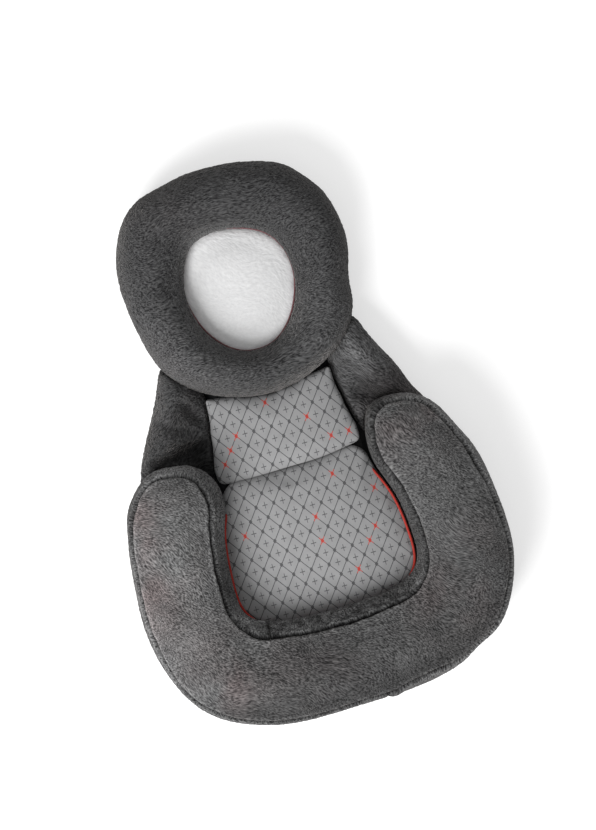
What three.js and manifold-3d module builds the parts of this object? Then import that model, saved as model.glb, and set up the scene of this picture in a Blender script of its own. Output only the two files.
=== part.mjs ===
import * as THREE from 'three';
import { mergeVertices } from 'three/addons/utils/BufferGeometryUtils.js';
import Module from 'manifold-3d';

const wasm = await Module();
wasm.setup();

// Infant lounger in millimetres. X runs across, Y towards the head and Z up.
// The origin is on the floor under the middle of the footprint.
const overallLength = 698;
const overallWidth = 472;

// Fits and cloth
const fitGap = 0.3;
const padClearance = 1;
const cutOverrun = 8;
const plushThickness = 2.8;
const padClothThickness = 2.4;

// Base under everything
const basePanelThickness = 6;
const foamThickness = 15;

// Head ring
const ringLength = 294;
const ringWidth = 284;
const ringHeight = 84;
const ringHeadWidth = 84;
const hollowLength = 154;
const hollowWidth = 135;

// Wings beside the torso
const wingWidth = 104;
const wingHeight = 66;
const wingOverlap = 66;

// Bolster round the seat
const bolsterLength = 355;
const bolsterWidth = 122;
const bolsterHeight = 112;
const bolsterCrown = 19;
const bolsterSeamInset = 11;

// Round cushions tuck in below their widest line
const cushionTuck = 10;

// Pads in the well and in the head hollow
const seatPadHeight = 38;
const headPadHeight = 34;
const padCrown = 9;
const padSeamPlace = -40;

// Piping
const seatPipingRadius = 2.3;
const headPipingRadius = 1.9;

// Zip in the base panel
const zipLength = 190;
const zipPlace = -75;
const zipSlotWidth = 20;
const tapeWidth = 14;
const tapeThickness = 1;
const tapeSpacing = 2;
const tapeTail = 8;
const toothPitch = 6;
const toothLength = 2.6;
const toothDepth = 2;
const toothHeight = 2.4;
const stopLength = 3;
const stopWidth = 6.6;
const sliderLength = 13;
const sliderWidth = 11;
const sliderPlateThickness = 1;
const sliderClearance = 0.4;
const sliderPostWidth = 1;
const sliderPostLength = 3;
const earThickness = 1;
const earLength = 3;
const pinRadius = 0.6;
const eyeClearance = 0.35;
const eyeWall = 0.55;
const pullWidth = 7;
const pullNeckWidth = 3.4;
const pullThickness = 1.4;
const pullLength = 24;

// Facets
const ringSteps = 32;
const wingSteps = 5;
const bolsterSteps = 24;
const tipSteps = 6;
const domeSteps = 4;
const wellFanSteps = 9;
const wellSideSteps = 6;
const pipingSides = 6;
const pinSides = 10;

// Places that follow from the sizes
const headEnd = overallLength / 2;
const footEnd = -overallLength / 2;
const ringMiddle = headEnd - ringLength / 2;
const ringFoot = headEnd - ringLength;
const hollowMiddle = headEnd - ringHeadWidth - hollowLength / 2;
const lobeEnd = footEnd + bolsterLength;
const wingReach = ringFoot - lobeEnd + wingOverlap;
const clothFloor = basePanelThickness + fitGap;
const foamTop = clothFloor + foamThickness;
const quarterTurn = Math.PI / 2;

// Outlines as shares. A rail row is across, along, the ray's turn in quarter turns, and width.
const ringOuterShares = [
  [0, 1], [0.437, 0.946], [0.775, 0.796], [0.958, 0.463], [1, 0.163],
  [0.965, -0.136], [0.901, -0.456], [0.72, -0.741], [0.36, -0.939], [0, -1],
];
const hollowShares = [
  [0, 1], [0.4, 0.948], [0.74, 0.766], [0.948, 0.442], [1, 0.117],
  [0.963, -0.13], [0.83, -0.468], [0.563, -0.792], [0.28, -0.961], [0, -1],
];
const wingRailShares = [
  [0.534, 0.991, 0.29, 0.54], [0.589, 0.652, 0.29, 0.67], [0.695, 0.261, 0.29, 0.83],
  [0.746, 0.113, 0.29, 0.885], [0.809, -0.148, 0.29, 1], [0.836, -0.3, 0.29, 1],
];
const wingHeightShares = [0.8, 0.95, 1, 0.98, 0.9, 0.82];
const bolsterRailShares = [
  [0.858, 0.896, 0.228, 0.936], [0.936, 0.811, 0.178, 0.98], [0.975, 0.696, 0.111, 0.99],
  [1, 0.532, 0.011, 1], [0.996, 0.411, -0.067, 1.005], [0.941, 0.259, -0.241, 1.04],
  [0.809, 0.127, -0.416, 1.09], [0.61, 0.051, -0.572, 1.08], [0.318, 0.006, -0.776, 1.016],
  [0, 0, -1, 0.967],
];

// Sections as shares
const domeWidestShare = 0.4;
const tuckShares = [[0.2, 0.45], [1, 0.95], [1, 1]];
const bolsterTopShares = [[0, 0], [0.42, 0.1], [0.76, 0.42], [0.93, 0.72], [1, 1]];
const bolsterBandShares = [[0.18, 0.72], [0.46, 1], [0.76, 0.8], [0.97, 0], [1, 0]];
const padTopShares = [0, 0.45, 0.8, 0.95, 1];
const padSpineShares = [0.35, 0.65];
const wellRingShare = 0.39;

// The band round the bolster is two strips, joined inside on the left and outside on the right
const outerJointShare = 0.455;
const innerJointShare = 0.375;

function mirrored(point) {
  return new THREE.Vector2(-point.x, point.y);
}

function between(from, to, share) {
  return from + (to - from) * share;
}

function steps(count) {
  return Array.from({ length: count }, (unused, index) => index);
}

function curveThrough(points, closed) {
  return new THREE.CatmullRomCurve3(points.map(({ x, y }) => new THREE.Vector3(x, y, 0)), closed);
}

function pointOn(curve, share) {
  const { x, y } = curve.getPoint(share);
  return new THREE.Vector2(x, y);
}

// A half outline from the centre line to the centre line, closed by its mirror image
function closedOutline(shares, halfWidth, middle, halfLength) {
  const half = shares.map(([x, y]) => new THREE.Vector2(x * halfWidth, middle + y * halfLength));
  return curveThrough([...half, ...half.slice(1, -1).reverse().map(mirrored)], true);
}

function railPoints(shares, start, length, width) {
  return shares.map(([across, along, turnShare, widthShare]) => {
    const turn = turnShare * quarterTurn;
    const outer = new THREE.Vector2((across * overallWidth) / 2, start + along * length);
    const ray = new THREE.Vector2(Math.cos(turn), Math.sin(turn));
    return { outer, inner: outer.clone().addScaledVector(ray, -widthShare * width) };
  });
}

// A ray runs level from a cushion's spine to its widest line
function rayBetween(inner, outer, height) {
  const origin = inner.clone().add(outer).multiplyScalar(1 / 2);
  const across = outer.clone().sub(origin);
  return { origin, direction: across.clone().normalize(), reach: across.length(), height };
}

function turnedRay(ray, angle) {
  return { ...ray, direction: ray.direction.clone().rotateAround(new THREE.Vector2(), angle) };
}

function fanRays(ray) {
  return steps(tipSteps - 1).map((step) => turnedRay(ray, (-Math.PI * (step + 1)) / tipSteps));
}

// Rays all round an open spine: one side, the far tip, the other side and the near tip
function openRays(outerRail, innerRail, count, heightAt) {
  const side = steps(count + 1).map((step) => {
    const share = step / count;
    return rayBetween(pointOn(innerRail, share), pointOn(outerRail, share), heightAt(share));
  });
  const otherSide = side.map((ray) => ({ ...ray, direction: ray.direction.clone().negate() }));
  otherSide.reverse();
  return [...side, ...fanRays(side.at(-1)), ...otherSide, ...fanRays(otherSide.at(-1))];
}

function rayEnd(ray, stretch) {
  return ray.origin.clone().addScaledVector(ray.direction, ray.reach + stretch);
}

function placedLine(ray, line) {
  return line.map(({ x, y }) => {
    const foot = ray.origin.clone().addScaledVector(ray.direction, x);
    return new THREE.Vector3(foot.x, foot.y, y);
  });
}

function signedVolume(points, triangles) {
  return triangles.reduce((sum, [a, b, c]) => {
    const cross = points[b].clone().cross(points[c]);
    return sum + points[a].dot(cross);
  }, 0);
}

function meshFrom(points, triangles) {
  const outward = signedVolume(points, triangles) > 0;
  const turned = outward ? triangles : triangles.map(([a, b, c]) => [a, c, b]);
  const loose = new THREE.BufferGeometry();
  const places = points.flatMap((point) => point.toArray());
  loose.setAttribute('position', new THREE.Float32BufferAttribute(places, 3));
  loose.setIndex(turned.flat());
  const merged = mergeVertices(loose);
  const index = Array.from(merged.getIndex().array);
  const kept = [];
  for (let start = 0; start < index.length; start += 3) {
    const corners = index.slice(start, start + 3);
    if (new Set(corners).size === 3) kept.push(...corners);
  }
  merged.setIndex(kept);
  return merged;
}

// Rows of equal length become a skin, each facet split along its shorter diagonal
function skinTriangles(rows, rowsClose, lineCloses) {
  const width = rows[0].length;
  const points = rows.flat();
  const rowCount = rowsClose ? rows.length : rows.length - 1;
  const columnCount = lineCloses ? width : width - 1;
  return steps(rowCount).flatMap((row) => steps(columnCount).flatMap((column) => {
    const nextRow = ((row + 1) % rows.length) * width;
    const nextColumn = (column + 1) % width;
    const a = row * width + column;
    const b = nextRow + column;
    const c = nextRow + nextColumn;
    const d = row * width + nextColumn;
    const splitsFromFirst = points[a].distanceTo(points[c]) < points[b].distanceTo(points[d]);
    return splitsFromFirst ? [[a, b, c], [a, c, d]] : [[a, b, d], [b, c, d]];
  }));
}

// The line starts and ends on the spine, which both sides share
function spineBody(rays, lineFor) {
  const rows = rays.map((ray) => placedLine(ray, lineFor(ray)));
  return meshFrom(rows.flat(), skinTriangles(rows, true, false));
}

// A closed section carried round a closed loop
function loopBody(rays, sectionFor) {
  const rows = rays.map((ray) => placedLine(ray, sectionFor(ray)));
  return meshFrom(rows.flat(), skinTriangles(rows, true, true));
}

// The cap's triangles follow the order of the section's points
function capTriangles(section) {
  const turn = Math.sign(THREE.ShapeUtils.area(section));
  return THREE.ShapeUtils.triangulateShape(section, []).map((corners) => {
    const follows = Math.sign(THREE.ShapeUtils.area(corners.map((corner) => section[corner]))) === turn;
    return follows ? corners : [...corners].reverse();
  });
}

// A closed section carried along an open run, with both ends capped
function stripBody(rays, sectionFor) {
  const rows = rays.map((ray) => placedLine(ray, sectionFor(ray)));
  shortenRows(rows[0], rows[1]);
  shortenRows(rows.at(-1), rows.at(-2));
  const lastRow = (rows.length - 1) * rows[0].length;
  const nearCap = capTriangles(sectionFor(rays[0]));
  const farCap = nearCap.map((corners) => corners.map((corner) => lastRow + corner).reverse());
  return meshFrom(rows.flat(), [...skinTriangles(rows, false, true), ...nearCap, ...farCap]);
}

// The end row draws back by half the gap between two strips
function shortenRows(endRow, nextRow) {
  endRow.forEach((point, index) => {
    const run = nextRow[index].clone().sub(point);
    point.addScaledVector(run.normalize(), fitGap / 2);
  });
}

function lineNormal(from, to) {
  return new THREE.Vector2(from.y - to.y, to.x - from.x).normalize();
}

// Moves a section line outwards, so that each stretch stays parallel to itself
function offsetLine(line, distance, startsOnSpine) {
  return line.map((point, index) => {
    const after = line[index + 1];
    const spineBefore = startsOnSpine && index === 0 ? mirrored(after) : null;
    const before = line[index - 1] ?? spineBefore;
    const firstNormal = before ? lineNormal(before, point) : lineNormal(point, after);
    const lastNormal = after ? lineNormal(point, after) : firstNormal;
    const middle = firstNormal.clone().add(lastNormal).normalize();
    return point.clone().addScaledVector(middle, distance / middle.dot(lastNormal));
  });
}

// A seam leaves a gap between two skins of one line
function withSeamGap(line) {
  const run = line[1].clone().sub(line[0]).normalize();
  return [line[0].clone().addScaledVector(run, fitGap), ...line.slice(1)];
}

// The plush skin over part of a line, whose first end may be a seam
function skinPart(line, first, last, startsOnSpine) {
  const inner = offsetLine(line, -plushThickness, startsOnSpine);
  const sides = [line, inner].map((side) => {
    const part = side.slice(first, last + 1);
    return first > 0 ? withSeamGap(part) : part;
  });
  return [...sides[0], ...sides[1].reverse()];
}

// From the spine over the line and back to the spine along a flat bottom
function solidLine(line, bottom) {
  const last = line.at(-1);
  return [...line, new THREE.Vector2(last.x, bottom), new THREE.Vector2(0, bottom)];
}

// A rounded section from its crown down to the base panel
function domeLine(halfWidth, height) {
  const widest = clothFloor + (height - clothFloor) * domeWidestShare;
  const crown = steps(domeSteps + 1).map((step) => {
    const angle = quarterTurn * (1 - step / domeSteps);
    const rise = (height - widest) * Math.sin(angle);
    return new THREE.Vector2(halfWidth * Math.cos(angle), widest + rise);
  });
  crown[0].x = 0;
  const tuck = tuckShares.map(([inShare, downShare]) => {
    const drop = (widest - clothFloor) * downShare;
    return new THREE.Vector2(halfWidth - cushionTuck * inShare, widest - drop);
  });
  return [...crown, ...tuck];
}

function bolsterTopLine(ray) {
  const seamReach = ray.reach - bolsterSeamInset;
  return bolsterTopShares.map(([across, fall]) => {
    return new THREE.Vector2(seamReach * across, ray.height - bolsterCrown * fall);
  });
}

function bolsterBandLine(ray) {
  const seamReach = ray.reach - bolsterSeamInset;
  const seamHeight = ray.height - bolsterCrown;
  const fall = seamHeight - clothFloor;
  const bulge = bolsterBandShares.map(([down, out]) => {
    return new THREE.Vector2(seamReach + bolsterSeamInset * out, seamHeight - fall * down);
  });
  return [new THREE.Vector2(seamReach, seamHeight), ...bulge];
}

function bolsterLine(ray) {
  return [...bolsterTopLine(ray), ...bolsterBandLine(ray).slice(1)];
}

function wingLine(ray) {
  return domeLine(ray.reach, ray.height);
}

// Both sides of the head ring, from the bottom of the hollow over the crown to the outside
function ringLine(ray) {
  const outside = domeLine(ray.reach, ray.height);
  const inside = outside.slice(1).map(mirrored).reverse();
  return [...inside, ...outside];
}

function toSolid(geometry) {
  const bare = geometry.clone();
  bare.deleteAttribute('normal');
  bare.deleteAttribute('uv');
  const merged = mergeVertices(bare);
  return new wasm.Manifold(new wasm.Mesh({
    numProp: 3,
    vertProperties: new Float32Array(merged.getAttribute('position').array),
    triVerts: new Uint32Array(merged.getIndex().array),
  }));
}

function toGeometry(solid) {
  const { vertProperties, triVerts } = solid.getMesh();
  const geometry = new THREE.BufferGeometry();
  geometry.setAttribute('position', new THREE.Float32BufferAttribute(vertProperties, 3));
  geometry.setIndex(Array.from(triVerts));
  return geometry;
}

function joined(geometries) {
  return toGeometry(geometries.map(toSolid).reduce((sum, solid) => sum.add(solid)));
}

function cutBy(geometry, cutters) {
  const whole = toSolid(geometry);
  return toGeometry(cutters.map(toSolid).reduce((left, cutter) => left.subtract(cutter), whole));
}

function block(width, length, low, high, x, y) {
  const geometry = new THREE.BoxGeometry(width, length, high - low);
  return geometry.translate(x, y, (low + high) / 2);
}

function slab(outline, low, high) {
  const settings = { depth: high - low, bevelEnabled: false };
  return new THREE.ExtrudeGeometry(new THREE.Shape(outline), settings).translate(0, 0, low);
}

// Distance along a level ray to the nearest stretch of the walls
function distanceToWall(origin, direction, walls) {
  const hits = walls.flatMap((wall) => wall.map((from, index) => {
    const run = wall[(index + 1) % wall.length].clone().sub(from);
    const gap = from.clone().sub(origin);
    const turn = direction.cross(run);
    const along = gap.cross(run) / turn;
    const share = gap.cross(direction) / turn;
    return turn !== 0 && share >= 0 && share <= 1 && along > 0 ? along : Infinity;
  }));
  return Math.min(...hits);
}

// Rays from a straight spine on the centre line out to whatever walls a pad lies between
function padRays(head, foot, walls) {
  const toWall = (y, angle) => {
    const origin = new THREE.Vector2(0, y);
    const direction = new THREE.Vector2(Math.cos(angle), Math.sin(angle));
    return { origin, direction, reach: distanceToWall(origin, direction, walls) - padClearance };
  };
  const fan = (y, start) => steps(wellFanSteps * 2 + 1).map((step) => {
    return toWall(y, start - (quarterTurn * step) / wellFanSteps);
  });
  const places = steps(wellSideSteps - 1).map((step) => {
    return head + ((foot - head) * (step + 1)) / wellSideSteps;
  });
  const right = places.map((y) => toWall(y, 0));
  const left = places.map((y) => toWall(y, Math.PI)).reverse();
  return [...fan(head, Math.PI), ...right, ...fan(foot, 0), ...left];
}

// A pad's top falls from its crown to its edge
function padTopLine(ray, top) {
  return padTopShares.map((share) => {
    return new THREE.Vector2(ray.reach * share, top + padCrown * (1 - share * share));
  });
}

function padSheetLine(ray, top) {
  const upper = padTopLine(ray, top);
  const lower = padTopLine(ray, top - padClothThickness).reverse();
  return [...upper, ...lower];
}

function padFillLine(ray, top, bottom) {
  const upper = padTopLine(ray, top - padClothThickness - fitGap);
  return solidLine(upper, bottom);
}

function circleSection(middle, height, radius) {
  return steps(pipingSides).map((side) => {
    const angle = (4 * quarterTurn * side) / pipingSides;
    return new THREE.Vector2(middle + radius * Math.cos(angle), height + radius * Math.sin(angle));
  });
}

// Piping lies on the pad's edge and against the wall
function pipingHeight(padEdge, radius, shortestReach) {
  const share = 1 - (2 * radius + fitGap) / shortestReach;
  return padEdge + padCrown * (1 - share * share) + radius + fitGap;
}

const group = new THREE.Group();

const materials = {
  plush: { color: 0x55524f, roughness: 0.95, metalness: 0 },
  bandPlush: { color: 0x4d4a48, roughness: 0.95, metalness: 0 },
  padCloth: { color: 0xf2f1ee, roughness: 0.95, metalness: 0 },
  printedCloth: { color: 0x9a9794, roughness: 0.85, metalness: 0 },
  baseCloth: { color: 0x3a3a3c, roughness: 0.85, metalness: 0 },
  piping: { color: 0xb03426, roughness: 0.7, metalness: 0 },
  fibre: { color: 0xf7f7f4, roughness: 1, metalness: 0 },
  foam: { color: 0x39393b, roughness: 0.9, metalness: 0 },
  tape: { color: 0x2c2c2e, roughness: 0.8, metalness: 0 },
  zipMetal: { color: 0x8f9194, roughness: 0.35, metalness: 0.9 },
};

function addPiece(name, geometry, look) {
  const faceted = geometry.index ? geometry.toNonIndexed() : geometry;
  faceted.computeVertexNormals();
  const mesh = new THREE.Mesh(faceted, new THREE.MeshStandardMaterial(materials[look]));
  mesh.name = name;
  group.add(mesh);
}

// Spines and outlines of the cushions
const ringOuter = closedOutline(ringOuterShares, ringWidth / 2, ringMiddle, ringLength / 2);
const ringHollow = closedOutline(hollowShares, hollowWidth / 2, hollowMiddle, hollowLength / 2);
const ringRays = steps(ringSteps).map((step) => {
  const share = step / ringSteps;
  return rayBetween(pointOn(ringHollow, share), pointOn(ringOuter, share), ringHeight);
});

const wingRails = railPoints(wingRailShares, lobeEnd, wingReach, wingWidth);
const wingHeights = curveThrough(wingHeightShares.map((share, index) => {
  return new THREE.Vector2(index, share * wingHeight);
}), false);

const rightWingRays = openRays(
  curveThrough(wingRails.map(({ outer }) => outer), false),
  curveThrough(wingRails.map(({ inner }) => inner), false),
  wingSteps,
  (share) => pointOn(wingHeights, share).y,
);
const leftWingRays = rightWingRays.map((ray) => {
  return { ...ray, origin: mirrored(ray.origin), direction: mirrored(ray.direction) };
});

const bolsterRails = railPoints(bolsterRailShares, footEnd, bolsterLength, bolsterWidth);
const bolsterOuterHalf = bolsterRails.map(({ outer }) => outer);
const bolsterInnerHalf = bolsterRails.map(({ inner }) => inner);

function bothHalves(half) {
  return [...half, ...half.slice(0, -1).reverse().map(mirrored)];
}

const bolsterRays = openRays(
  curveThrough(bothHalves(bolsterOuterHalf), false),
  curveThrough(bothHalves(bolsterInnerHalf), false),
  bolsterSteps,
  () => bolsterHeight,
);

// Solids that a neighbour is cut back by
function spineClearance(rays, lineFor) {
  return spineBody(rays, (ray) => solidLine(offsetLine(lineFor(ray), fitGap, true), -cutOverrun));
}

const ringClearance = loopBody(ringRays, (ray) => {
  const line = offsetLine(ringLine(ray), fitGap, false);
  const bottoms = [line.at(-1), line[0]].map(({ x }) => new THREE.Vector2(x, -cutOverrun));
  return [...line, ...bottoms];
});
const bolsterClearance = spineClearance(bolsterRays, bolsterLine);

// Room over the zip, cut from whatever lies on it
const zipEnd = zipPlace + zipLength / 2;
const zipStart = zipPlace - zipLength / 2;
const pocketStart = zipStart - pullLength;
const slotEnd = zipEnd + stopLength + 2 * fitGap;
const slotMiddle = (slotEnd + pocketStart) / 2;
const toothMiddle = clothFloor + tapeThickness / 2;
const toothTop = toothMiddle + toothHeight / 2;
const toothBottom = toothMiddle - toothHeight / 2;
const sliderTop = toothTop + sliderClearance + sliderPlateThickness;
const sliderBottom = toothBottom - sliderClearance - sliderPlateThickness;
const tapeReach = tapeSpacing / 2 + tapeWidth;
const channelLength = slotEnd - pocketStart + 2 * tapeTail;
const channelWidth = 2 * (tapeReach + fitGap);
const channelTop = sliderTop + sliderClearance;
const zipChannel = block(channelWidth, channelLength, -cutOverrun, channelTop, 0, slotMiddle);

// Head ring, whose seam runs just above the widest line of the hollow
const ringSeam = tuckShares.length + 1;
const ringLast = ringLine(ringRays[0]).length - 1;
const ringCover = loopBody(ringRays, (ray) => skinPart(ringLine(ray), ringSeam, ringLast, false));
const hollowBand = loopBody(ringRays, (ray) => skinPart(ringLine(ray), 0, ringSeam, false));
const ringFill = loopBody(ringRays, (ray) => offsetLine(ringLine(ray), -plushThickness - fitGap, false));
addPiece('head_ring_cover', cutBy(ringCover, [zipChannel]), 'plush');
addPiece('head_hollow_band', cutBy(hollowBand, [zipChannel]), 'bandPlush');
addPiece('head_ring_fill', cutBy(ringFill, [zipChannel]), 'fibre');

// Wings
for (const [name, rays] of [['left', leftWingRays], ['right', rightWingRays]]) {
  const cutters = [ringClearance, bolsterClearance];
  const last = wingLine(rays[0]).length - 1;
  const cover = spineBody(rays, (ray) => skinPart(wingLine(ray), 0, last, true));
  const fill = spineBody(rays, (ray) => {
    return solidLine(offsetLine(wingLine(ray), -plushThickness - fitGap, true), clothFloor);
  });
  addPiece(`${name}_wing_cover`, cutBy(cover, cutters), 'plush');
  addPiece(`${name}_wing_fill`, cutBy(fill, cutters), 'fibre');
}

// Bolster
const bolsterSeam = bolsterTopShares.length - 1;
const bolsterLast = bolsterSeam + bolsterBandShares.length;
addPiece('bolster_top_panel', spineBody(bolsterRays, (ray) => {
  return skinPart(bolsterLine(ray), 0, bolsterSeam, true);
}), 'plush');
const outerJoint = Math.round(bolsterSteps * outerJointShare);
const innerSideStart = bolsterSteps + tipSteps;
const innerJoint = innerSideStart + Math.round(bolsterSteps * innerJointShare);
const leftBandRays = bolsterRays.slice(outerJoint, innerJoint + 1);
const rightBandRays = [...bolsterRays.slice(innerJoint), ...bolsterRays.slice(0, outerJoint + 1)];
for (const [name, rays] of [['left', leftBandRays], ['right', rightBandRays]]) {
  const strip = stripBody(rays, (ray) => skinPart(bolsterLine(ray), bolsterSeam, bolsterLast, true));
  addPiece(`bolster_${name}_band`, cutBy(strip, [zipChannel]), 'bandPlush');
}
const bolsterFill = spineBody(bolsterRays, (ray) => {
  return solidLine(offsetLine(bolsterLine(ray), -plushThickness - fitGap, true), clothFloor);
});
addPiece('bolster_fill', cutBy(bolsterFill, [zipChannel]), 'fibre');

// Walls that the pads lie between, at their widest
const ringWall = ringRays.map((ray) => rayEnd(ray, 0));
const hollowWall = ringRays.map((ray) => rayEnd(ray, -2 * ray.reach));
const rightWingWall = rightWingRays.map((ray) => rayEnd(ray, 0));
const leftWingWall = leftWingRays.map((ray) => rayEnd(ray, 0));
const bolsterWall = bolsterRays.map((ray) => rayEnd(ray, 0));
const padSeamWall = [-1, 1].map((side) => new THREE.Vector2((side * overallWidth) / 2, padSeamPlace));
const wellWalls = [ringWall, rightWingWall, leftWingWall, bolsterWall];
const wellFoot = footEnd + bolsterRails.at(-1).inner.y - bolsterRails.at(-1).outer.y;

function padSpine(head, foot) {
  return padSpineShares.map((share) => between(head, foot, share));
}

// Foam under the well
const foamRays = padRays(...padSpine(ringFoot, wellFoot), wellWalls);
const foam = spineBody(foamRays, (ray) => solidLine([
  new THREE.Vector2(0, foamTop),
  new THREE.Vector2(ray.reach, foamTop),
], clothFloor));
addPiece('base_foam', cutBy(foam, [zipChannel]), 'foam');

// Pads
function addPad(name, fillName, rays, top, bottom, look) {
  addPiece(name, spineBody(rays, (ray) => padSheetLine(ray, top)), look);
  addPiece(fillName, spineBody(rays, (ray) => padFillLine(ray, top, bottom)), 'fibre');
}

const padFloor = foamTop + fitGap;
const seatRays = padRays(...padSpine(padSeamPlace, wellFoot), [...wellWalls, padSeamWall]);
const backRays = padRays(...padSpine(ringFoot, padSeamPlace), [...wellWalls, padSeamWall]);
const hollowTop = hollowMiddle + hollowLength / 2;
const hollowFoot = hollowMiddle - hollowLength / 2;
const headRays = padRays(...padSpine(hollowTop, hollowFoot), [hollowWall]);
addPad('seat_panel', 'seat_wadding', seatRays, seatPadHeight, padFloor, 'printedCloth');
addPad('back_panel', 'back_wadding', backRays, seatPadHeight, padFloor, 'printedCloth');
addPad('head_pad_cover', 'head_pad_wadding', headRays, headPadHeight, clothFloor, 'padCloth');

// Piping along the foot of the walls
function shortest(rays) {
  return Math.min(...rays.map(({ reach }) => reach));
}

const seatPipingHeight = pipingHeight(seatPadHeight, seatPipingRadius, shortest(seatRays));
const headPipingHeight = pipingHeight(headPadHeight, headPipingRadius, shortest(headRays));
const innerSideRays = bolsterRays.slice(innerSideStart, innerSideStart + bolsterSteps + 1);
addPiece('seat_piping', stripBody(innerSideRays, (ray) => {
  return circleSection(ray.reach + seatPipingRadius + fitGap, seatPipingHeight, seatPipingRadius);
}), 'piping');
addPiece('head_piping', loopBody(ringRays, (ray) => {
  return circleSection(-ray.reach - headPipingRadius - fitGap, headPipingHeight, headPipingRadius);
}), 'piping');

// Base panel under every cushion, with a slot for the zip
const wellSpineHalf = [
  ...ringRays.slice(Math.round(ringSteps * wellRingShare), ringSteps / 2 + 1).reverse(),
  ...rightWingRays.slice(0, wingSteps + 1),
  ...bolsterRays.slice(0, bolsterSteps / 2 + 1),
].map(({ origin }) => origin);
const footprints = [
  ringRays.map((ray) => rayEnd(ray, -cushionTuck)),
  rightWingRays.map((ray) => rayEnd(ray, -cushionTuck)),
  leftWingRays.map((ray) => rayEnd(ray, -cushionTuck)),
  bolsterRays.map((ray) => rayEnd(ray, -bolsterSeamInset)),
  [...wellSpineHalf, ...wellSpineHalf.slice(1, -1).reverse().map(mirrored)],
];
const panel = joined(footprints.map((outline) => slab(outline, 0, basePanelThickness)));
const slot = block(zipSlotWidth, slotEnd - pocketStart, -cutOverrun, cutOverrun, 0, slotMiddle);
addPiece('base_panel', cutBy(panel, [slot]), 'baseCloth');

// Zip: each tape carries its own row of teeth
const toothCount = Math.floor(zipLength / toothPitch);
const toothStart = sliderPostWidth / 2 + sliderClearance;
const stopReach = stopWidth / 2 + fitGap;
for (const [side, name] of [[-1, 'left'], [1, 'right']]) {
  const teeth = steps(toothCount).map((index) => {
    const y = zipStart + toothPitch * (index + 1 / 2);
    return block(toothLength, toothDepth, toothBottom, toothTop, side * (toothStart + toothLength / 2), y);
  });
  const tapeTop = clothFloor + tapeThickness;
  const edgeWidth = stopReach - tapeSpacing / 2 + fitGap;
  const edgeMiddle = side * (tapeSpacing / 2 + edgeWidth / 2);
  const tapeMiddle = side * ((tapeReach + stopReach) / 2);
  const tapeLength = channelLength - 2 * fitGap;
  const edge = block(edgeWidth, zipLength, clothFloor, tapeTop, edgeMiddle, zipPlace);
  const tape = block(tapeReach - stopReach, tapeLength, clothFloor, tapeTop, tapeMiddle, slotMiddle);
  addPiece(`zip_${name}_tape`, joined([tape, edge, ...teeth]), 'tape');
}

for (const [name, y] of [
  ['zip_head_stop', zipEnd + fitGap + stopLength / 2],
  ['zip_foot_stop', zipStart - fitGap - stopLength / 2],
]) {
  addPiece(name, block(stopWidth, stopLength, toothBottom, toothTop, 0, y), 'zipMetal');
}

// Slider round both rows, with a pin between two ears for the pull
const sliderFront = zipEnd - fitGap;
const sliderMiddle = sliderFront - sliderLength / 2;
const eyeRadius = pinRadius + eyeClearance + eyeWall;
const pinHeight = sliderBottom - eyeRadius - sliderClearance;
const earMiddle = pullNeckWidth / 2 + fitGap + earThickness / 2;
const pinLength = 2 * earMiddle + earThickness / 2;

function crossBar(radius, length) {
  const bar = new THREE.CylinderGeometry(radius, radius, length, pinSides);
  return bar.rotateZ(quarterTurn).translate(0, sliderMiddle, pinHeight);
}

const slider = joined([
  block(sliderWidth, sliderLength, sliderTop - sliderPlateThickness, sliderTop, 0, sliderMiddle),
  block(sliderWidth, sliderLength, sliderBottom, sliderBottom + sliderPlateThickness, 0, sliderMiddle),
  block(sliderPostWidth, sliderPostLength, sliderBottom, sliderTop, 0, sliderFront - sliderPostLength / 2),
  ...[-1, 1].map((side) => {
    const low = pinHeight - pinRadius - eyeWall / 2;
    const high = sliderBottom + sliderPlateThickness;
    return block(earThickness, earLength, low, high, side * earMiddle, sliderMiddle);
  }),
  crossBar(pinRadius, pinLength),
]);
addPiece('zip_slider', slider, 'zipMetal');

const pullLow = pinHeight - pullThickness / 2;
const pullHigh = pinHeight + pullThickness / 2;
const neckLength = earLength + eyeRadius;
const neckReach = neckLength + eyeWall;
const gripLength = pullLength - neckLength;
const pull = cutBy(joined([
  crossBar(eyeRadius, pullNeckWidth),
  block(pullNeckWidth, neckReach, pullLow, pullHigh, 0, sliderMiddle - neckReach / 2),
  block(pullWidth, gripLength, pullLow, pullHigh, 0, sliderMiddle - neckLength - gripLength / 2),
]), [crossBar(pinRadius + eyeClearance, pullNeckWidth + cutOverrun)]);
addPiece('zip_pull', pull, 'zipMetal');

export default group;
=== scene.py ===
import math
from functools import partial

import bmesh
import bpy
import numpy as np
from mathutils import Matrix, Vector, noise
from mathutils.kdtree import KDTree


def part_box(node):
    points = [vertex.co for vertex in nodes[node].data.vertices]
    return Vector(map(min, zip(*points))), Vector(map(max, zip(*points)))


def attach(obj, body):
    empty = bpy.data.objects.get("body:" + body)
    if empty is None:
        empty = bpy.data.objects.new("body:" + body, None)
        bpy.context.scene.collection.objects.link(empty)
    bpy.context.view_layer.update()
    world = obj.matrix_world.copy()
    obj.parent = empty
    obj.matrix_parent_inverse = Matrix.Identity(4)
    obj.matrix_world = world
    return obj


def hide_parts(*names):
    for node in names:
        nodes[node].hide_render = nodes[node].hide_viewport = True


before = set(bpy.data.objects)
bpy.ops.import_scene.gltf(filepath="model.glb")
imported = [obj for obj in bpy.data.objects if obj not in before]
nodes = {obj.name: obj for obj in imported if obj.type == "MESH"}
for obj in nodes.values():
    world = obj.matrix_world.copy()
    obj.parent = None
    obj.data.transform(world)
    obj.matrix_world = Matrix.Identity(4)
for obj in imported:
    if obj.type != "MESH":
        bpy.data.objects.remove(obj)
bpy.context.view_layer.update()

scene = bpy.context.scene
scene.view_settings.view_transform = "Standard"
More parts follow.
